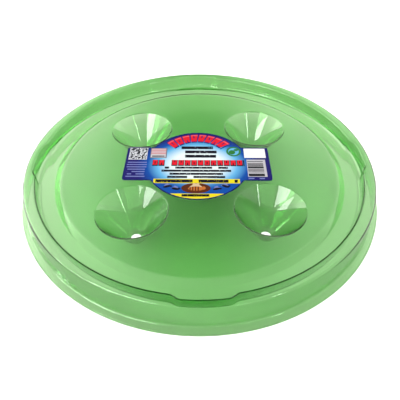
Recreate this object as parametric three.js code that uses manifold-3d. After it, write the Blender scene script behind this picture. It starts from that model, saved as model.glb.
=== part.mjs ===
// Funnel lid for a 5 gallon pail: one clear green moulding with four deep funnels and a
// printed label on its deck. The moulding is built as the sections that a person would
// name (rim, skirt, hem, inner wall, moat floor, riser, deck, mouths, funnels and throats).
// They meet face to face, and only the label is a separate piece.
// Millimetres, +Z up. The origin is on the lid's axis, in the plane of the funnel tips.

import * as THREE from 'three';
import { mergeVertices } from 'three/addons/utils/BufferGeometryUtils.js';
import Module from 'manifold-3d';

const wasm = await Module();
wasm.setup();

// Moulding
const wall = 1.6;              // thickness of the moulding
const ringSteps = 96;          // facets round the lid
const funnelSteps = 40;        // facets round a funnel

// Rim, skirt and hem: they wrap the pail's rim
const rimOuterR = 158;
const rimWidth = 10;           // flat top, from the inner wall to the outer corner
const rimCornerR = 1.5;        // rounded outer corner
const skirtHeight = 25.5;      // hem's underside to the rim's top
const skirtLean = 2;           // how far the skirt leans out on its way down
const hemHeight = 3;
const hemFlare = 5.6;          // how far the hem flares out past the skirt
const hemLip = 0.8;            // upright edge of the hem
const hemFoot = 2.4;           // width of the hem's flat underside

// Inner wall, with a pocket that bulges outward on each axis
const moatDepth = 13.5;        // rim's top to the moat's floor
const pocketDepth = 3.2;
const pocketHalfAngle = 6.3;   // degrees, half of the pocket's flat back
const pocketRampAngle = 2.9;   // degrees, from the plain wall to the pocket's back
const pocketCount = 4;

// Moat, riser and deck
const moatWidth = 13.5;
const riserRun = 5.5;          // how far the riser leans in on its way up
const riserThick = 2.5;        // measured level
const deckDrop = 10.1;         // rim's top to the deck's top

// Funnels: a cone that ends in a steeper throat
const funnelMouthR = 31.1;
const mouthLipWidth = 5;       // ring of deck round a mouth
const funnelEdgeGap = 14.5;    // flat deck between a mouth and the deck's edge
const collarR = 8.5;           // inner radius where the throat starts
const throatR = 6;             // inner radius at the tip
const throatHeight = 5.5;
const tipsBelowHem = 24;

// Label: a disc with a wing on each side
const labelThick = 0.3;
const labelHalfWidth = 69;
const labelCornerR = 3;
const labelShiftX = -2;
const labelShiftY = 1.2;
const wingFunnelGap = 3.7;     // deck between a wing's long edge and the mouths, label centred
const discFunnelGap = 1.0;     // deck between the disc and the nearest mouth

// Levels
const rimTop = tipsBelowHem + skirtHeight;
const rimUnder = rimTop - wall;
const hemTop = tipsBelowHem + hemHeight;
const moatTop = rimTop - moatDepth;
const moatUnder = moatTop - wall;
const deckTop = rimTop - deckDrop;
const deckUnder = deckTop - wall;

// Radii
const innerR = rimOuterR - rimWidth;
const hemTopR = rimOuterR + skirtLean;
const hemR = hemTopR + hemFlare;
const riserFootR = innerR - moatWidth;
const deckR = riserFootR - riserRun;
const riserHeadR = deckR + (riserRun * wall) / (deckTop - moatTop);
const funnelPitchR = deckR - funnelMouthR - funnelEdgeGap;
const funnelOffset = funnelPitchR / Math.SQRT2;

// Funnel slope, level radius gained for each millimetre of height
const coneSlope = (funnelMouthR - collarR) / (deckTop - throatHeight);
const coneWall = wall * Math.hypot(1, coneSlope);

const clearGreen = { color: 0x69b464, roughness: 0.08, metalness: 0 };
const labelPrint = { color: 0x1f4fa8, roughness: 0.35, metalness: 0 };

const lid = new THREE.Group();

function addPart(name, geometry, finish, x = 0, y = 0, z = 0) {
  const mesh = new THREE.Mesh(geometry, new THREE.MeshStandardMaterial(finish));
  mesh.name = name;
  mesh.position.set(x, y, z);
  lid.add(mesh);
}

// A solid of revolution about +Z from its [radius, height] outline.
function turned(outline, steps) {
  const points = outline.map(([r, z]) => new THREE.Vector2(r, z));
  if (outline[0][0] > 0 || outline[outline.length - 1][0] > 0) points.push(points[0].clone());
  return new THREE.LatheGeometry(points, steps).rotateX(Math.PI / 2);
}

// A level plate between two heights.
function plate(shape, bottom, top, steps = 12) {
  const options = { depth: top - bottom, bevelEnabled: false, curveSegments: steps };
  return new THREE.ExtrudeGeometry(shape, options).translate(0, 0, bottom);
}

function toSolid(geometry) {
  const bare = geometry.clone();
  bare.deleteAttribute('normal');
  bare.deleteAttribute('uv');
  const merged = mergeVertices(bare, 1e-4);
  const vertProperties = new Float32Array(merged.attributes.position.array);
  const triVerts = new Uint32Array(merged.index.array);
  return new wasm.Manifold(new wasm.Mesh({ numProp: 3, vertProperties, triVerts }));
}

function toGeometry(solid) {
  const mesh = solid.getMesh();
  const geometry = new THREE.BufferGeometry();
  geometry.setAttribute('position', new THREE.BufferAttribute(mesh.vertProperties, mesh.numProp));
  geometry.setIndex(new THREE.BufferAttribute(mesh.triVerts, 1));
  geometry.computeVertexNormals();
  return geometry;
}

function cut(geometry, ...tools) {
  return toGeometry(tools.reduce((solid, tool) => solid.subtract(toSolid(tool)), toSolid(geometry)));
}

// What a plate and a tool share, less a second tool.
function shared(geometry, tool, opening) {
  return toGeometry(toSolid(geometry).intersect(toSolid(tool)).subtract(toSolid(opening)));
}

// Azimuths, in degrees, that the pocketed outline needs: each pocket's ramp, back and second
// ramp, and the plain stretch after it.
function outlineAzimuths() {
  const rampSteps = 4;
  const backSteps = 4;
  const plainAngle = 360 / pocketCount - 2 * (pocketHalfAngle + pocketRampAngle);
  const stretches = [
    [pocketRampAngle, rampSteps],
    [2 * pocketHalfAngle, backSteps],
    [pocketRampAngle, rampSteps],
    [plainAngle, Math.ceil((plainAngle * ringSteps) / 360)],
  ];
  const azimuths = [];
  let azimuth = -pocketHalfAngle - pocketRampAngle;
  for (let pocket = 0; pocket < pocketCount; pocket += 1) {
    stretches.forEach(([span, steps]) => {
      for (let i = 0; i < steps; i += 1) azimuths.push(azimuth + (span * i) / steps);
      azimuth += span;
    });
  }
  return azimuths;
}

// How far the inner wall bulges outward at an azimuth, with a smooth S on each ramp.
function pocketBulge(azimuth) {
  const quarter = 360 / pocketCount;
  const fromCentre = Math.abs(azimuth - quarter * Math.round(azimuth / quarter));
  const edge = pocketHalfAngle + pocketRampAngle;
  return pocketDepth * THREE.MathUtils.smoothstep(edge - fromCentre, 0, pocketRampAngle);
}

// Closed outline of the inner wall, offset outward by a level distance.
function wallOutline(offset) {
  const points = outlineAzimuths().map((azimuth) => {
    const r = innerR + offset + pocketBulge(azimuth);
    const angle = THREE.MathUtils.degToRad(azimuth);
    return new THREE.Vector2(r * Math.cos(angle), r * Math.sin(angle));
  });
  return points;
}

// A ring about +Z with the pockets' facets. Its [radius, height] outline may change with the
// azimuth, and starts outward along its lowest edge.
function swept(outlineAt) {
  const sections = outlineAzimuths().map((azimuth) => {
    const angle = THREE.MathUtils.degToRad(azimuth);
    return outlineAt(azimuth).map(([r, z]) => [r * Math.cos(angle), r * Math.sin(angle), z]);
  });
  const size = sections[0].length;
  const faces = [];
  sections.forEach((section, i) => {
    const here = i * size;
    const next = ((i + 1) % sections.length) * size;
    section.forEach((point, j) => {
      const k = (j + 1) % size;
      faces.push(here + j, next + j, next + k, here + j, next + k, here + k);
    });
  });
  const geometry = new THREE.BufferGeometry();
  geometry.setAttribute('position', new THREE.Float32BufferAttribute(sections.flat(2), 3));
  geometry.setIndex(faces);
  geometry.computeVertexNormals();
  return geometry;
}

// The rim's flat underside has an edge line at each wall, so the seat between them is a face.
function rim() {
  const cornerSteps = 4;
  const corner = [];
  for (let i = 0; i <= cornerSteps; i += 1) {
    const turn = (Math.PI / 2) * (i / cornerSteps);
    const r = rimOuterR - rimCornerR + rimCornerR * Math.cos(turn);
    corner.push([r, rimTop - rimCornerR + rimCornerR * Math.sin(turn)]);
  }
  const outlineAt = (azimuth) => {
    const r = innerR + pocketBulge(azimuth);
    const underside = [r, r + wall, rimOuterR - wall, rimOuterR].map((edge) => [edge, rimUnder]);
    return [...underside, ...corner, [r, rimTop]];
  };
  addPart('rim', swept(outlineAt), clearGreen);
}

function skirt() {
  const outline = [
    [hemTopR - wall, hemTop],
    [hemTopR, hemTop],
    [rimOuterR, rimUnder],
    [rimOuterR - wall, rimUnder],
  ];
  addPart('skirt', swept(() => outline), clearGreen);
}

function hem() {
  const outline = [
    [hemR - hemFoot, tipsBelowHem],
    [hemR, tipsBelowHem],
    [hemR, tipsBelowHem + hemLip],
    [hemTopR, hemTop],
    [hemTopR - wall, hemTop],
    [hemTopR - wall, hemTop - wall / 2],
  ];
  addPart('hem', swept(() => outline), clearGreen);
}

function innerWall() {
  const ring = new THREE.Shape(wallOutline(wall));
  ring.holes.push(new THREE.Path(wallOutline(0)));
  addPart('inner_wall', plate(ring, moatTop, rimUnder), clearGreen);
}

function moatFloor() {
  const ring = new THREE.Shape(wallOutline(wall));
  ring.holes.push(new THREE.Path().absarc(0, 0, riserFootR - riserThick, 0, 2 * Math.PI, false));
  addPart('moat_floor', plate(ring, moatUnder, moatTop, ringSteps / 2), clearGreen);
}

function riser() {
  const outline = [
    [riserFootR - riserThick, moatTop],
    [riserFootR, moatTop],
    [riserHeadR, deckUnder],
    [riserHeadR - riserThick, deckUnder],
  ];
  addPart('riser', turned(outline, ringSteps), clearGreen);
}

// The inside of a funnel as a solid cone, between two heights.
function coneBetween(bottom, top) {
  const radiusAt = (z) => funnelMouthR + (z - deckTop) * coneSlope;
  return turned([[0, bottom], [radiusAt(bottom), bottom], [radiusAt(top), top], [0, top]], funnelSteps);
}

// The level plate inside the riser, before its mouths are cut.
function deckPlate() {
  const outline = [[0, deckUnder], [riserHeadR, deckUnder], [deckR, deckTop], [0, deckTop]];
  return turned(outline, ringSteps);
}

// A tall drum round a funnel's axis, which parts the mouth's ring from the deck.
function mouthDrum({ x, y }) {
  const r = funnelMouthR + mouthLipWidth;
  const low = deckUnder - wall;
  const high = deckTop + wall;
  return turned([[0, low], [r, low], [r, high], [0, high]], funnelSteps).translate(x, y, 0);
}

function deck(places) {
  addPart('deck', cut(deckPlate(), ...places.map(mouthDrum)), clearGreen);
}

function mouth(place) {
  const opening = coneBetween(deckUnder - wall, deckTop + wall).translate(place.x, place.y, 0);
  addPart(`mouth_${place.name}`, shared(deckPlate(), mouthDrum(place), opening), clearGreen);
}

function funnel({ name, x, y }) {
  const headR = funnelMouthR - wall * coneSlope;
  const cone = [
    [collarR, throatHeight],
    [collarR + coneWall, throatHeight],
    [headR + coneWall, deckUnder],
    [headR, deckUnder],
  ];
  const throat = [
    [throatR, 0],
    [throatR + coneWall, 0],
    [collarR + coneWall, throatHeight],
    [collarR, throatHeight],
  ];
  addPart(`funnel_${name}`, turned(cone, funnelSteps), clearGreen, x, y);
  addPart(`throat_${name}`, turned(throat, funnelSteps), clearGreen, x, y);
}

function label() {
  const nearestMouth = Math.hypot(funnelOffset - Math.abs(labelShiftX), funnelOffset - Math.abs(labelShiftY));
  const discR = nearestMouth - funnelMouthR - discFunnelGap;
  const halfHeight = Math.min(funnelOffset - funnelMouthR - wingFunnelGap, discR * 0.9);
  const join = Math.asin(halfHeight / discR);
  const corner = Math.min(labelCornerR, halfHeight / 2);
  const x = labelHalfWidth - corner;
  const y = halfHeight - corner;
  const shape = new THREE.Shape();
  shape.absarc(x, -y, corner, -Math.PI / 2, 0, false);
  shape.absarc(x, y, corner, 0, Math.PI / 2, false);
  shape.absarc(0, 0, discR, join, Math.PI - join, false);
  shape.absarc(-x, y, corner, Math.PI / 2, Math.PI, false);
  shape.absarc(-x, -y, corner, Math.PI, 1.5 * Math.PI, false);
  shape.absarc(0, 0, discR, Math.PI + join, 2 * Math.PI - join, false);
  addPart('label', plate(shape, deckTop, deckTop + labelThick), labelPrint, labelShiftX, labelShiftY);
}

const funnelPlaces = [
  { name: 'front_left', x: -funnelOffset, y: -funnelOffset },
  { name: 'front_right', x: funnelOffset, y: -funnelOffset },
  { name: 'rear_left', x: -funnelOffset, y: funnelOffset },
  { name: 'rear_right', x: funnelOffset, y: funnelOffset },
];

rim();
skirt();
hem();
innerWall();
moatFloor();
riser();
deck(funnelPlaces);
funnelPlaces.forEach(mouth);
funnelPlaces.forEach(funnel);
label();

export default lid;
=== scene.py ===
# %% [markdown]
# # A funnel lid in clear green plastic
# This lid turns a pail into an insect trap. It is one clear moulding with four deep
# funnels and a printed label. The lesson shows how to model a thin clear shell as one
# skin that gets its thickness at the end, and how to light it so that its green shows.

# %% Load the frame
import math

import bmesh
import bpy
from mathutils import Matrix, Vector


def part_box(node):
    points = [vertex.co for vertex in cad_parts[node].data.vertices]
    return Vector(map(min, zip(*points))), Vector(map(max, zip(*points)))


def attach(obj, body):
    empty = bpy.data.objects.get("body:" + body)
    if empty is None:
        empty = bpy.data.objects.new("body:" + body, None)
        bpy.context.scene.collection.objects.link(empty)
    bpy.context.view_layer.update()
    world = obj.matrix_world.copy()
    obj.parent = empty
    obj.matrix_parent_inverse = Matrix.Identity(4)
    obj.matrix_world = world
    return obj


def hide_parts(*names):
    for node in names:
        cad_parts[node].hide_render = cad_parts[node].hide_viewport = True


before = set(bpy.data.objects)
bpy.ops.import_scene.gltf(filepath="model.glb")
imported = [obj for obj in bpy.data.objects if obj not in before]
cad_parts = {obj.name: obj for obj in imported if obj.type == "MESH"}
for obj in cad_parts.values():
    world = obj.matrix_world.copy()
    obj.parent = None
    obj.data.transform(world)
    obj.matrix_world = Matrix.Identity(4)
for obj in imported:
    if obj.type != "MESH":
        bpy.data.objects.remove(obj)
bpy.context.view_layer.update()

print("frame nodes:", len(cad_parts))

# %% [markdown]
# ## Sizes
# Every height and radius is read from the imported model's boxes, so the skin lands on the
# model by itself. Only what a box can't tell, such as the wall's thickness and the
# roundings, is given here. All values are metres.

# %% Read the sizes
MM = 0.001
WALL = 1.6 * MM
RIM_SKIN = 1.0 * MM
DECK_SKIN = 1.6 * MM
POCKET_DEPTH = 3.2 * MM
POCKET_FLAT = math.radians(6.3)
POCKET_EDGE = math.radians(9.2)
SIDES = ("front_left", "front_right", "rear_left", "rear_right")


def low(node):
    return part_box(node)[0]


def high(node):
    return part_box(node)[1]


def middle(node):
    return (low(node) + high(node)) / 2


rim_top = high("rim").z
rim_outer = high("rim").x
wall_inner = high("inner_wall").x - POCKET_DEPTH - WALL
skirt_foot = high("skirt").x
hem_outer = high("hem").x
hem_top = high("hem").z
hem_low = low("hem").z
moat_top = high("moat_floor").z
riser_foot = high("riser").x
deck_top = high("deck").z
riser_slope = (riser_foot - high("deck").x) / (low("deck").z - moat_top)
deck_edge = riser_foot - riser_slope * (deck_top - moat_top)
print("rim", round(rim_outer * 2000), "mm across, deck", round(deck_edge * 2000), "mm across")

# %% [markdown]
# ## Two small helpers for selecting
# An operator works on whatever is selected. So each step first deselects everything, and
# then picks vertices by their place.

# %% Selecting in code


def only(obj):
    """Make one object the only selected and active one, in object mode."""
    if bpy.context.object and bpy.context.object.mode == "EDIT":
        bpy.ops.object.mode_set(mode="OBJECT")
    bpy.ops.object.select_all(action="DESELECT")
    obj.select_set(True)
    bpy.context.view_layer.objects.active = obj


def pick(obj, test):
    """In edit mode, select only the vertices whose place passes the test."""
    bpy.ops.mesh.select_all(action="DESELECT")
    mesh = bmesh.from_edit_mesh(obj.data)
    for vertex in mesh.verts:
        vertex.select = test(vertex.co)
    mesh.select_flush_mode()
    bmesh.update_edit_mesh(obj.data)
    return sum(vertex.select for vertex in mesh.verts)


def near(a, b, reach=0.02 * MM):
    return abs(a - b) < reach


only(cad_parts["rim"])
bpy.ops.object.select_all(action="DESELECT")
print("nothing is selected:", not bpy.context.selected_objects)

# %% [markdown]
# ## Rounded profiles
# Moulded plastic has no sharp corners: each one is rounded so that the tool releases it.
# A profile is written as its corners with a rounding radius each, and this function
# swaps every corner for a short arc.

# %% Round the corners of a profile


def rounded(corners, steps=6):
    """Turn [radius, height, rounding] corners into points, with an arc at each corner."""
    points = [Vector(corners[0][:2])]
    for before, here, after in zip(corners, corners[1:], corners[2:]):
        corner = Vector(here[:2])
        arriving = (Vector(before[:2]) - corner).normalized()
        leaving = (Vector(after[:2]) - corner).normalized()
        if not here[2]:
            points.append(corner)
            continue
        half = arriving.angle(leaving) / 2
        reach = here[2] / math.tan(half)
        centre = corner + (arriving + leaving).normalized() * here[2] / math.sin(half)
        first = corner + arriving * reach - centre
        last = corner + leaving * reach - centre
        sweep = first.angle(last)
        for i in range(steps + 1):
            share = i / steps
            weights = math.sin((1 - share) * sweep), math.sin(share * sweep)
            points.append(centre + (first * weights[0] + last * weights[1]) / math.sin(sweep))
    points.append(Vector(corners[-1][:2]))
    return points


lid_profile = rounded(
    [
        (hem_outer, hem_low + WALL * 0.2, 0),
        (hem_outer - 0.5 * MM, hem_low + WALL, 0.45 * MM),
        (skirt_foot, hem_top, 2.2 * MM),
        (rim_outer, rim_top, 2.4 * MM),
        (wall_inner, rim_top, 1.9 * MM),
        (wall_inner, moat_top, 2.6 * MM),
        (riser_foot, moat_top, 1.6 * MM),
        (deck_edge, deck_top, 1.8 * MM),
        (deck_edge - 3 * MM, deck_top, 0),
    ]
)
print("lid profile:", len(lid_profile), "points")

# %% [markdown]
# ## The lid's skin
# The lid is round, so it could be spun from its profile. Here it is grown from a circle
# instead: the edge is extruded, then resized and lifted to the next point of the profile.
# That is how it would be done by hand, and it keeps one clean column of faces per degree.

# %% Grow a skin from a circle


def ring_start(name, profile, columns):
    """A circle at the first point of a profile, left in edit mode with its edge selected."""
    start = profile[0]
    bpy.ops.mesh.primitive_circle_add(
        vertices=columns, radius=start.x, fill_type="NOTHING", location=(0, 0, 0)
    )
    obj = bpy.context.object
    obj.name = name
    only(obj)
    bpy.ops.object.mode_set(mode="EDIT")
    bpy.ops.mesh.select_all(action="SELECT")
    bpy.ops.transform.translate(value=(0, 0, start.y))
    return obj


def grow(profile):
    """Extrude the selected ring through the rest of a profile of [radius, height] points."""
    for here, there in zip(profile, profile[1:]):
        bpy.ops.mesh.extrude_edges_move()
        scale = there.x / here.x
        bpy.ops.transform.resize(value=(scale, scale, 1))
        bpy.ops.transform.translate(value=(0, 0, there.y - here.y))


LID_COLUMNS = 360
lid = ring_start("lid_moulding", lid_profile, LID_COLUMNS)
grow(lid_profile)
print("lid skin:", len(bmesh.from_edit_mesh(lid.data).faces), "faces")
bpy.ops.object.mode_set(mode="OBJECT")

# %% [markdown]
# ## Pockets that grip the pail
# On each axis the inner wall bulges outward by about 3 mm, so that its back presses on
# the pail. Matching columns of all four pockets are selected together and resized away
# from the lid's middle. Each end is an S, made by pushing the columns near it less.

# %% Push the pockets out


def bulge(angle):
    """Share of the pocket's depth at an angle from its middle."""
    share = (POCKET_EDGE - abs(angle)) / (POCKET_EDGE - POCKET_FLAT)
    share = min(max(share, 0), 1)
    return share * share * (3 - 2 * share)


def is_wall(place):
    ring = Vector(place[:2]).length
    return wall_inner - 2.8 * MM < ring < wall_inner + 2.0 * MM


def from_axis(place):
    """Angle between a vertex and the nearest of the four axes."""
    quarter = math.pi / 2
    angle = math.atan2(place.y, place.x)
    return abs(angle - quarter * round(angle / quarter))


only(lid)
bpy.ops.object.mode_set(mode="EDIT")
COLUMN = 2 * math.pi / LID_COLUMNS
for step in range(math.ceil(POCKET_EDGE / COLUMN)):
    scale = 1 + POCKET_DEPTH * bulge(step * COLUMN) / wall_inner
    pick(lid, lambda place: is_wall(place) and near(from_axis(place), step * COLUMN, COLUMN * 0.4))
    bpy.ops.transform.resize(value=(scale, scale, 1), center_override=(0, 0, 0))
bpy.ops.object.mode_set(mode="OBJECT")
print("pockets:", len(SIDES), "each", round(POCKET_DEPTH * 1000, 1), "mm deep")

# %% [markdown]
# ## One funnel, used four times
# A funnel is a cone with a rounded mouth that runs into a steeper throat. It is grown the
# same way, downward from the mouth. It is modelled once, at the origin, and each copy is
# then moved to its place and joined to the lid.

# %% Grow a funnel
throat_low = low("throat_front_left").z
throat_top = high("throat_front_left").z
cone_outer = (high("funnel_front_left").x - low("funnel_front_left").x) / 2
cone_low_outer = (high("throat_front_left").x - low("throat_front_left").x) / 2
deck_under = low("deck").z
cone_slope = (cone_outer - cone_low_outer) / (deck_under - throat_top)
level_wall = WALL * math.hypot(1, cone_slope)
mouth = cone_outer - level_wall + cone_slope * (deck_top - deck_under)
collar = cone_low_outer - level_wall
TIP = 4.6 * MM
TIP_LIFT = 3.0 * MM
MOUTH_ROUND = 0.7 * MM
MOUTH_DRAFT = 0.4 * MM
funnel_profile = rounded(
    [
        (mouth + 2.2 * MM, deck_top, 0),
        (mouth - MOUTH_DRAFT, deck_top, MOUTH_ROUND),
        (collar, throat_top, 3.0 * MM),
        (TIP, throat_low + TIP_LIFT, 0),
    ]
)
FUNNEL_COLUMNS = 128
funnel = ring_start("funnel", funnel_profile, FUNNEL_COLUMNS)
grow(funnel_profile)
bpy.ops.object.mode_set(mode="OBJECT")
print("funnel:", len(funnel.data.polygons), "faces, mouth", round(mouth * 2000, 1), "mm across")

# %% Place the four funnels
places = []
for side in SIDES:
    centre = middle("mouth_" + side)
    only(funnel)
    bpy.ops.object.duplicate()
    copy = bpy.context.object
    copy.location = (centre.x, centre.y, 0)
    bpy.ops.object.transform_apply(location=True, rotation=True, scale=True)
    places.append(copy)
bpy.data.objects.remove(funnel)
only(lid)
for copy in places:
    copy.select_set(True)
bpy.ops.object.join()
print("joined:", len(lid.data.polygons), "faces")

# %% [markdown]
# ## The deck
# The deck is flat, with four round holes. Fill makes it in one step from five edge loops:
# the deck's rim and the four mouths. Its faces all lie level, so their shape doesn't show.

# %% Fill the deck between the five loops


def on_deck_loop(place):
    ring = Vector(place[:2]).length
    return near(place.z, deck_top) and near(ring, lid_profile[-1].x)


def on_mouth_loop(place):
    if not near(place.z, deck_top):
        return False
    for side in SIDES:
        centre = middle("mouth_" + side)
        if near(math.hypot(place.x - centre.x, place.y - centre.y), funnel_profile[0].x):
            return True
    return False


only(lid)
bpy.ops.object.mode_set(mode="EDIT")
picked = pick(lid, lambda place: on_deck_loop(place) or on_mouth_loop(place))
bpy.ops.mesh.fill(use_beauty=True)
bpy.ops.mesh.select_all(action="SELECT")
bpy.ops.mesh.remove_doubles(threshold=0.00001)
bpy.ops.mesh.normals_make_consistent(inside=False)
bpy.ops.object.mode_set(mode="OBJECT")
print("deck filled from", picked, "edge points")

# %% [markdown]
# ## Give the skin its thickness
# Solidify turns the skin into a wall, inward from the faces that were modelled. The deck
# carries the load and has a deeper shade, so it is thicker than the rim, the skirt and the
# funnels. A vertex group tells the modifier where: it holds the share of the full
# thickness at each vertex. A small Bevel then softens the cut edges. Both modifiers
# are applied, so that the mesh itself holds the shape.

# %% Mark the thick part


def is_deck(place):
    """The level plate inside the deck's rounded edge, without the funnels' walls."""
    return Vector(place[:2]).length < deck_edge - 1.0 * MM and near(place.z, deck_top)


only(lid)
bpy.ops.object.mode_set(mode="EDIT")
thick_count = pick(lid, is_deck)
bpy.ops.object.vertex_group_add()
bpy.ops.object.vertex_group_assign()
bpy.ops.object.mode_set(mode="OBJECT")
lid.vertex_groups.active.name = "thick"
print("thick vertices:", thick_count, "of", len(lid.data.vertices))

# %% Solidify and soften


def apply_modifier(obj, kind, **settings):
    only(obj)
    modifier = obj.modifiers.new(kind.title(), kind)
    for key, value in settings.items():
        setattr(modifier, key, value)
    bpy.ops.object.modifier_apply(modifier=modifier.name)


def highest_face_up(obj):
    top = max(obj.data.polygons, key=lambda face: face.center.z)
    return top.normal.z > 0


if not highest_face_up(lid):
    only(lid)
    bpy.ops.object.mode_set(mode="EDIT")
    bpy.ops.mesh.select_all(action="SELECT")
    bpy.ops.mesh.flip_normals()
    bpy.ops.object.mode_set(mode="OBJECT")

apply_modifier(
    lid,
    "SOLIDIFY",
    thickness=DECK_SKIN,
    offset=-1,
    use_even_offset=True,
    vertex_group="thick",
    thickness_vertex_group=RIM_SKIN / DECK_SKIN,
)
apply_modifier(
    lid, "BEVEL", width=0.25 * MM, segments=2, limit_method="ANGLE", angle_limit=math.radians(60)
)
only(lid)
bpy.ops.object.shade_smooth_by_angle(angle=math.radians(50))
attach(lid, "root")
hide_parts(*[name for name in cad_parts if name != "label"])
print("lid wall:", len(lid.data.polygons), "faces")

# %% [markdown]
# ## Nodes as expressions
# A shader's maths is easier to read as Python. This class wraps a socket and turns each
# operator into a Math node, so 1 - mask works as it looks.

# %% A small shader language


class Value:
    """A socket that Python's operators can work with."""

    def __init__(self, nodes, socket):
        self.nodes = nodes
        self.socket = socket

    def math(self, operation, *others, swap=False):
        values = [self, *others]
        if swap:
            values.reverse()
        return self.nodes.add("ShaderNodeMath", {"operation": operation}, *values)

    def __add__(self, other):
        return self.math("ADD", other)

    def __radd__(self, other):
        return self.math("ADD", other, swap=True)

    def __sub__(self, other):
        return self.math("SUBTRACT", other)

    def __rsub__(self, other):
        return self.math("SUBTRACT", other, swap=True)

    def __mul__(self, other):
        return self.math("MULTIPLY", other)

    def __rmul__(self, other):
        return self.math("MULTIPLY", other, swap=True)

    def __truediv__(self, other):
        return self.math("DIVIDE", other)

    def __lt__(self, other):
        return self.math("LESS_THAN", other)

    def __gt__(self, other):
        return self.math("GREATER_THAN", other)


class Nodes:
    """The node tree of one material or world."""

    def __init__(self, owner, shader="Principled BSDF", output="Material Output"):
        self.owner = owner
        owner.use_nodes = True
        self.tree = owner.node_tree
        self.shader = self.tree.nodes[shader]
        self.output = self.tree.nodes[output]

    def add(self, kind, settings=None, *values, out=0, **named):
        """Add one node: settings first, then its sockets by place or by name."""
        node = self.tree.nodes.new(kind)
        for key, value in (settings or {}).items():
            setattr(node, key, value)
        for key, value in [*enumerate(values), *named.items()]:
            self.feed(node.inputs[key.replace("_", " ") if isinstance(key, str) else key], value)
        return Value(self, node.outputs[out])

    def finish(self, **named):
        """Set or link sockets of the shader by name."""
        for key, value in named.items():
            self.feed(self.shader.inputs[key.replace("_", " ")], value)

    def feed(self, socket, value):
        if isinstance(value, Value):
            self.tree.links.new(value.socket, socket)
        elif value is not None:
            socket.default_value = value

    def place(self):
        """The object's own coordinates, in metres."""
        return self.add("ShaderNodeTexCoord", out=3)


print("shader language ready")

# %% [markdown]
# ## Clear green plastic
# Real clear plastic gets its colour from its depth, so a wall seen edge on is darker than
# one seen flat. Volume Absorption does that: each millimetre of path takes away a share
# of red and blue. The surface itself is smooth, with a faint waviness from the mould. Its
# index of refraction is lower than real plastic's 1.5, because rays that are trapped in a
# thin wall end black, and a low index traps fewer of them. A clear coat gives back the
# gloss that this takes away.

# %% Make the plastic
plastic = Nodes(bpy.data.materials.new("clear_green_plastic"))
at = plastic.place()
flow = plastic.add("ShaderNodeTexNoise", None, Vector=at, Scale=60.0, Detail=2.0)
ripple = plastic.add("ShaderNodeTexNoise", None, Vector=at, Scale=14.0, Detail=1.0)
height = flow * 0.2 + ripple
bump = plastic.add("ShaderNodeBump", None, Strength=0.02, Distance=0.002, Height=height)
plastic.finish(
    Base_Color=(0.94, 0.96, 0.94, 1),
    Roughness=0.02,
    IOR=1.12,
    Transmission_Weight=1.0,
    Coat_Weight=0.8,
    Coat_Roughness=0.03,
    Normal=bump,
)
KEPT_LIGHT = (0.17, 0.76, 0.045, 1)
absorb = plastic.add("ShaderNodeVolumeAbsorption", None, Color=KEPT_LIGHT, Density=640.0)
plastic.tree.links.new(absorb.socket, plastic.output.inputs["Volume"])
lid.data.materials.clear()
lid.data.materials.append(plastic.owner)
print("plastic nodes:", len(plastic.tree.nodes))

# %% [markdown]
# ## The printed label
# The label is a vinyl sticker: a disc with a wing on each side. Its print is drawn with
# maths in the shader, in millimetres from the label's middle. Each shape is a mask that is
# 1 inside and 0 outside, and a mix node lays its colour over what is there. A real label
# would carry words and a mark. This one has plain bars, blocks and a simple insect sign.
#
# The outline is cut first: a flat cylinder for the disc, and a flattened cube with beveled
# corners for the wings. A Boolean joins them into one sheet with one clean edge.

# %% Cut the sticker
DISC = 49.0 * MM
WING_LONG = 69.0 * MM
WING_HALF = 24.2 * MM
WING_CORNER = 3.0 * MM
LABEL_TURN = math.radians(-1.75)
label_middle = middle("label")
sheet = high("label").z - low("label").z

bpy.ops.object.select_all(action="DESELECT")
bpy.ops.mesh.primitive_cylinder_add(vertices=256, radius=DISC, depth=sheet, location=(0, 0, 0))
disc = bpy.context.object
bpy.ops.mesh.primitive_cube_add(size=2, location=(0, 0, 0))
sticker = bpy.context.object
sticker.name = "label_sticker"
only(sticker)
bpy.ops.object.mode_set(mode="EDIT")
bpy.ops.mesh.select_all(action="SELECT")
bpy.ops.transform.resize(value=(WING_LONG, WING_HALF, sheet / 2))
bpy.ops.mesh.select_all(action="DESELECT")
bpy.ops.mesh.select_mode(type="EDGE")
wing_mesh = bmesh.from_edit_mesh(sticker.data)
for edge in wing_mesh.edges:
    ends = edge.verts[0].co - edge.verts[1].co
    edge.select = abs(ends.z) > sheet / 2
wing_mesh.select_flush_mode()
bmesh.update_edit_mesh(sticker.data)
bpy.ops.mesh.bevel(offset=WING_CORNER, segments=8, affect="EDGES")
bpy.ops.mesh.select_mode(type="VERT")
bpy.ops.object.mode_set(mode="OBJECT")
apply_modifier(sticker, "BOOLEAN", operation="UNION", object=disc, solver="EXACT")
bpy.data.objects.remove(disc)
sticker.rotation_euler = (0, 0, LABEL_TURN)
sticker.location = label_middle
only(sticker)
bpy.ops.object.transform_apply(location=True, rotation=True, scale=True)
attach(sticker, "root")
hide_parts("label")
print("sticker:", round(WING_LONG * 2000), "mm wide,", len(sticker.data.polygons), "faces")

# %% Where the print is
paper = Nodes(bpy.data.materials.new("label_print"))
spread = paper.add(
    "ShaderNodeMapping",
    {"vector_type": "TEXTURE"},
    Vector=paper.place(),
    Location=(label_middle.x, label_middle.y, 0),
    Rotation=(0, 0, LABEL_TURN),
    Scale=(MM, MM, MM),
)
split = paper.tree.nodes.new("ShaderNodeSeparateXYZ")
paper.feed(split.inputs[0], spread)
across = Value(paper, split.outputs[0])
up = Value(paper, split.outputs[1])
print("print is drawn in millimetres")

# %% Masks and paint


def floor_of(value):
    return value.math("FLOOR")


def part_of(value):
    """What is left of a value after its whole number: a saw from 0 to 1."""
    return value.math("FRACT")


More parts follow.
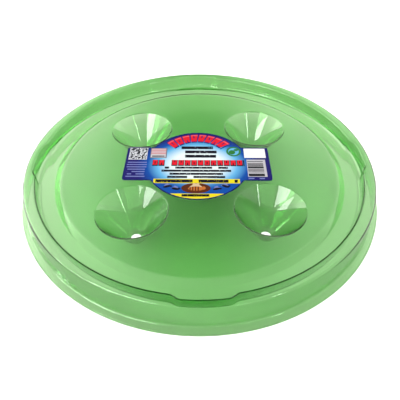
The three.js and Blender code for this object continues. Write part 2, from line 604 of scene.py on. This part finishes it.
def within(value, middle, half):
    """1 where a value is at most half away from the middle."""
    return (value - middle).math("ABSOLUTE") < half


def block(middle_x, middle_y, half_x, half_y):
    return within(across, middle_x, half_x) * within(up, middle_y, half_y)


def oval(middle_x, middle_y, half_x, half_y, turn=0):
    """An ellipse, turned by some degrees."""
    cos, sin = math.cos(math.radians(turn)), math.sin(math.radians(turn))
    x, y = across - middle_x, up - middle_y
    along = (x * cos + y * sin) / half_x
    beside = (y * cos - x * sin) / half_y
    return along * along + beside * beside < 1


def noise_of(x, y, seed):
    """A random number for each whole x and y."""
    cell = paper.add("ShaderNodeCombineXYZ", None, X=x, Y=y, Z=seed)
    return paper.add("ShaderNodeTexWhiteNoise", {"noise_dimensions": "3D"}, Vector=cell)


def over(under, mask, colour):
    """Lay a colour over another where the mask is 1."""
    mix = paper.tree.nodes.new("ShaderNodeMix")
    mix.data_type = "RGBA"
    paper.feed(mix.inputs[0], mask)
    paper.feed(mix.inputs[6], under)
    paper.feed(mix.inputs[7], colour)
    return Value(paper, mix.outputs[2])


NAVY = (0.008, 0.006, 0.10, 1)
BLUE = (0.003, 0.05, 0.27, 1)
SKY = (0.09, 0.31, 0.56, 1)
WHITE = (0.56, 0.64, 0.70, 1)
RED = (0.52, 0.008, 0.02, 1)
YELLOW = (0.56, 0.47, 0.012, 1)
INK = (0.004, 0.004, 0.010, 1)
BROWN = (0.07, 0.016, 0.006, 1)
AMBER = (0.36, 0.11, 0.025, 1)
ROSE = (0.42, 0.13, 0.16, 1)
GREY = (0.12, 0.12, 0.15, 1)
GREEN = (0.02, 0.13, 0.03, 1)
PALE = (0.12, 0.14, 0.36, 1)
print("white of the print:", WHITE[:3])

# %% Background: white in the middle, through blue to navy at the edges
out = (across * across + up * up).math("SQRT")
away = ((across * 0.80) * (across * 0.80) + (up + 2) * (up + 2)).math("SQRT")
ground = paper.add("ShaderNodeValToRGB", None, Fac=away / 56)
stops = ground.socket.node.color_ramp
stops.elements[0].position, stops.elements[0].color = 0.34, WHITE
stops.elements[1].position, stops.elements[1].color = 0.84, NAVY
for position, colour in ((0.54, SKY), (0.68, BLUE)):
    stops.elements.new(position).color = colour
colour = ground
low_blue = within(up, -32, 9.5) * within(across, 0, 45)
fade = (away - 22) / 14
colour = over(colour, low_blue * fade.math("MINIMUM", 1).math("MAXIMUM", 0), BLUE)

# %% [markdown]
# Greeked rows stand for text: each row is cut into random words, and each word into short
# strokes. It reads as print from a distance, and as plain strokes from close by.

# %% Rows of strokes


def rows(middle_x, top, pitch, count, half_x, tall, stroke, seed, ragged=0.3):
    """A block of text-like rows that hangs down from its top, in millimetres."""
    step = (top - up) / pitch
    row = floor_of(step)
    inside = (step > 0) * (step < count) * within(part_of(step), 0.5, tall / 2)
    reach = half_x - noise_of(row, seed, 0.5) * (half_x * ragged)
    offset = (across - middle_x).math("ABSOLUTE")
    words = noise_of(floor_of((across + 200) / (stroke * 3.4)), row, seed + 7) > 0.1
    letter = (across + 200) / stroke
    gaps = part_of(letter) < 0.82
    strokes = noise_of(floor_of(letter), row + floor_of(part_of(step) * 5) * 13, seed) > 0.12
    return inside * (offset < reach) * (words * gaps).math("MAXIMUM", words * strokes)


bold = rows(-0.5, 27.0, 6.6, 3, 21.5, 0.66, 2.3, 3)
small = rows(-1, -4.5, 4.35, 4, 38, 0.66, 1.7, 11, 0.42)
colour = over(colour, bold, INK)
colour = over(colour, small, INK)

# %% The arched band of red blocks across the top
ARCH_MIDDLE = 4.6
ARCH = 35.4
arch_up = up - ARCH_MIDDLE
arch_out = (across * across + arch_up * arch_up).math("SQRT")
arch_turn = across.math("ARCTAN2", arch_up)
ARCH_BLOCKS = 8
ARCH_HALF = math.radians(51)
arch_step = (arch_turn + ARCH_HALF) / (2 * ARCH_HALF / ARCH_BLOCKS)
saw = part_of(arch_step)
arch_shadow = within(arch_out, ARCH - 0.4, 7.0) * within(arch_turn, 0.02, ARCH_HALF + 0.02)
slant = (arch_out - ARCH) / 60
arch_band = within(arch_out, ARCH, 5.6) * within(arch_turn, 0, ARCH_HALF)
arch_block = arch_band * within(saw - slant, 0.5, 0.41)
notch_side = (noise_of(floor_of(arch_step), 5, 2) - 0.5) * 8
notch = within(saw, 0.5, 0.07) * within(arch_out - ARCH, notch_side, 2.0)
colour = over(colour, arch_shadow * within(saw - slant, 0.5, 0.475), NAVY)
colour = over(colour, arch_block * (1 - notch), RED)
colour = over(colour, arch_block * within(arch_out, ARCH + 4.2, 0.5), (0.56, 0.10, 0.14, 1))

# %% The straight band of red blocks across the middle
bar_step = (across + 43.5) / 6.2
bar_saw = part_of(bar_step)
bar_gap = noise_of(floor_of(bar_step), 3, 9) > 0.10
bar_side = (noise_of(floor_of(bar_step), 1, 4) - 0.5) * 6
bar_notch = within(bar_saw, 0.5, 0.08) * within(up - 1, bar_side, 1.7)
bar_all = block(0, 1.0, 43.4, 3.6) * bar_gap
bar_shadow = block(0.8, 0.2, 43.8, 4.4) * bar_gap * within(bar_saw, 0.5, 0.47)
colour = over(colour, bar_shadow, INK)
colour = over(colour, bar_all * within(bar_saw, 0.5, 0.36) * (1 - bar_notch), RED)

# %% The yellow strip and the yellow foot
colour = over(colour, block(-0.5, -25.3, 39.4, 2.9), YELLOW)
strip_text = rows(-0.5, -23.3, 4.0, 1, 37.5, 1.0, 1.6, 23, 0.0)
colour = over(colour, block(-0.5, -25.3, 37.5, 2.9) * strip_text, INK)
colour = over(colour, up < -41.6, YELLOW)
colour = over(colour, rows(0, -42.3, 3.1, 1, 13.5, 1.0, 2.0, 31, 0.0), INK)

# %% The insect signs


def insect(under, x, y, size, body, wing, turn=0):
    """Two wings, a body and a head. Size is half the body's length."""
    for side in (-1, 1):
        flap = x - side * size * 0.25, y + size * 0.42, size * 0.85, size * 0.32
        under = over(under, oval(*flap, turn + side * 38), wing)
    under = over(under, oval(x, y, size, size * 0.4, turn), body)
    return over(under, oval(x + size * 0.95, y + size * 0.1, size * 0.3, size * 0.3), body)


colour = over(colour, oval(-1, -34.6, 13.2, 6.6), BROWN)
for x, y, turn in ((-27, -32.5, 20), (-19.5, -35.5, -15), (17.5, -35.5, 15), (25.5, -32.0, -25)):
    colour = insect(colour, x, y, 3.6, INK, PALE, turn)
colour = insect(colour, -1, -35.2, 7.0, AMBER, (0.45, 0.34, 0.22, 1))
for stripe in (-5.2, -2.8, -0.4, 2.0):
    colour = over(colour, oval(-1, -35.2, 7.0, 2.8) * within(across, -1 + stripe, 0.55), BROWN)

# %% The round sign beside the title
colour = over(colour, oval(35.2, 18.0, 7.2, 7.6), GREEN)
colour = over(colour, oval(35.2, 18.0, 5.2, 5.6), SKY)
colour = over(colour, oval(33.6, 16.8, 3.2, 3.4) + oval(37.6, 20.4, 2.2, 1.8), GREEN)

# %% The left wing: a pattern square, a striped panel and pale rows
colour = over(colour, block(-57.8, 14.3, 8.8, 9.3), (0.46, 0.48, 0.54, 1))
grain = noise_of(floor_of((across + 200) / 1.15), floor_of((up + 200) / 1.15), 41) > 0.5
colour = over(colour, block(-57.8, 14.3, 8.2, 8.7) * grain, (0.012, 0.012, 0.02, 1))
colour = over(colour, block(-38.0, 15.2, 8.0, 7.6), GREY)
colour = over(colour, block(-38.2, 15.5, 7.2, 6.8), (0.40, 0.39, 0.44, 1))
weave = part_of((up + 200) / 2.3) < 0.5
colour = over(colour, block(-38.2, 17.4, 7.2, 4.8) * weave, ROSE)
colour = over(colour, rows(-38.2, 11.6, 2.4, 1, 6.0, 0.7, 1.3, 37, 0.0), INK)
colour = over(colour, rows(-57.4, 2.6, 3.35, 7, 9.6, 0.42, 1.2, 43, 0.2), PALE)

# %% The right wing: a blank box, a panel of bars and a pale row
colour = over(colour, block(55.6, 15.5, 10.4, 7.2), (0.64, 0.64, 0.68, 1))
colour = over(colour, block(55.8, -6.8, 8.9, 12.4), (0.36, 0.35, 0.40, 1))
bars = noise_of(floor_of((up + 200) / 0.95), 1, 53) > 0.42
colour = over(colour, block(55.0, -6.8, 7.4, 11.6) * bars, (0.015, 0.015, 0.02, 1))
colour = over(colour, rows(55.6, -20.3, 2.3, 1, 8.6, 0.7, 1.4, 59, 0.0), PALE)

# %% The edge: a dark line along the sticker's edge
wing_x, wing_y, disc_r = WING_LONG / MM, WING_HALF / MM, DISC / MM
in_wing = within(up, 0, wing_y) * within(across, 0, wing_x)
near_edge = (1 - within(up, 0, wing_y - 0.9) * within(across, 0, wing_x - 0.9)) * (out > disc_r)
disc_edge = (out > disc_r - 1.0) * (1 - in_wing)
colour = over(colour, (near_edge + disc_edge).math("MINIMUM", 1), NAVY)

dimple = paper.add("ShaderNodeTexNoise", None, Vector=paper.place(), Scale=90.0, Detail=2.0)
soft = paper.add("ShaderNodeBump", None, Strength=0.06, Distance=0.0006, Height=dimple)
paper.finish(Base_Color=colour, Roughness=0.35, Specular_IOR_Level=0.04, Normal=soft)
sticker.data.materials.append(paper.owner)
print("label nodes:", len(paper.tree.nodes))

# %% [markdown]
# ## Floor, light and camera
# Clear green plastic shows what is behind it, so it needs a plain pale floor. The floor
# is lit to full white only where it is seen directly, through Is Camera Ray of the Light
# Path node: seen through the plastic it is a mid grey, so that the plastic's own green
# isn't washed out. A soft, slightly warm sky lights everything, most from the sides and
# the rear corners. Soft boxes that light nothing matt add the long highlights that show
# the shape of the cones.

# %% Floor
bpy.ops.object.select_all(action="DESELECT")
bpy.ops.mesh.primitive_plane_add(size=6, location=(0, 0, -0.2 * MM))
floor = bpy.context.object
floor.name = "floor"
pale = Nodes(bpy.data.materials.new("pale_floor"))
direct_view = pale.add("ShaderNodeLightPath")
pale.finish(
    Base_Color=(0.52, 0.52, 0.52, 1),
    Roughness=0.9,
    Emission_Color=direct_view,
    Emission_Strength=1.0,
)
floor.data.materials.append(pale.owner)

# %% Sky: brighter at the sides, with a soft panel at each rear corner
SKY_BASE = 0.36
SIDE_GAIN = 1.8
LEFT_GAIN = 1.9
REAR_PANELS = 2.4
SKY_SEEN = 1.2
sky = Nodes(bpy.data.worlds.new("studio"), "Background", "World Output")
bpy.context.scene.world = sky.owner
split = sky.tree.nodes.new("ShaderNodeSeparateXYZ")
sky.feed(split.inputs[0], sky.add("ShaderNodeTexCoord", out=0))
sideways = Value(sky, split.outputs[0])
left = (sideways * -1).math("MAXIMUM", 0)


def ease(value, start, end):
    """A soft step: 0 below the start and 1 above the end."""
    kind = {"interpolation_type": "SMOOTHSTEP"}
    return sky.add("ShaderNodeMapRange", kind, Value=value, From_Min=start, From_Max=end)


backward = Value(sky, split.outputs[1])
beside = ease(sideways.math("ABSOLUTE"), 0.02, 0.30)
panels = beside * ease(backward, 0.05, 0.40) * (1 - sideways * 0.4) * REAR_PANELS
strength = sideways * sideways * SIDE_GAIN + left * left * LEFT_GAIN + panels + SKY_BASE
seen = sky.add("ShaderNodeLightPath")
sky.finish(Color=(1, 0.99, 0.91, 1), Strength=strength * (1 - seen) + seen * SKY_SEEN)
print("sky nodes:", len(sky.tree.nodes))

# %% Soft boxes for the highlights


def soft_box(name, azimuth, elevation, distance, width, height, radiance):
    """A rectangle that shines at the lid, but not on matt things. Angles in degrees."""
    turn, lift = math.radians(azimuth), math.radians(elevation)
    place = Vector((math.cos(turn), math.sin(turn), math.tan(lift))) * distance
    bpy.ops.object.light_add(type="AREA", location=place)
    lamp = bpy.context.object
    lamp.name = name
    lamp.data.shape = "RECTANGLE"
    lamp.data.size = width
    lamp.data.size_y = height
    lamp.data.energy = math.pi * width * height * radiance
    lamp.rotation_euler = (Vector((0, 0, 0.03)) - place).to_track_quat("-Z", "Y").to_euler()
    lamp.visible_diffuse = False
    lamp.visible_camera = False
    return lamp


soft_box("window_high", -132, 33, 0.8, 0.55, 0.24, 12)
soft_box("window_low", -150, 20.5, 0.8, 0.55, 0.12, 12)
soft_box("strip_right", -52, 30, 0.7, 0.045, 0.30, 14)
soft_box("low_left", 162, 6, 0.65, 0.26, 0.08, 7)
soft_box("front_bar", -90, 19, 1.0, 1.5, 0.10, 5)

# %% Camera
CAMERA_BACK = 0.2944
CAMERA_UP = 0.2859
CAMERA_TILT = math.radians(44.97)
CAMERA_ORBIT = math.radians(-1.3)
CAMERA_AIM = math.radians(-1.37)
LENS = 36.2
bpy.ops.object.camera_add(
    location=(
        CAMERA_BACK * math.sin(CAMERA_ORBIT),
        -CAMERA_BACK * math.cos(CAMERA_ORBIT),
        CAMERA_UP,
    ),
    rotation=(CAMERA_TILT, 0, CAMERA_AIM),
)
camera = bpy.context.object
camera.data.lens = LENS
camera.data.sensor_width = 36
camera.data.clip_start = 0.01
bpy.context.scene.camera = camera
bpy.context.scene.view_settings.view_transform = "Standard"
print("camera lens:", camera.data.lens, "mm")
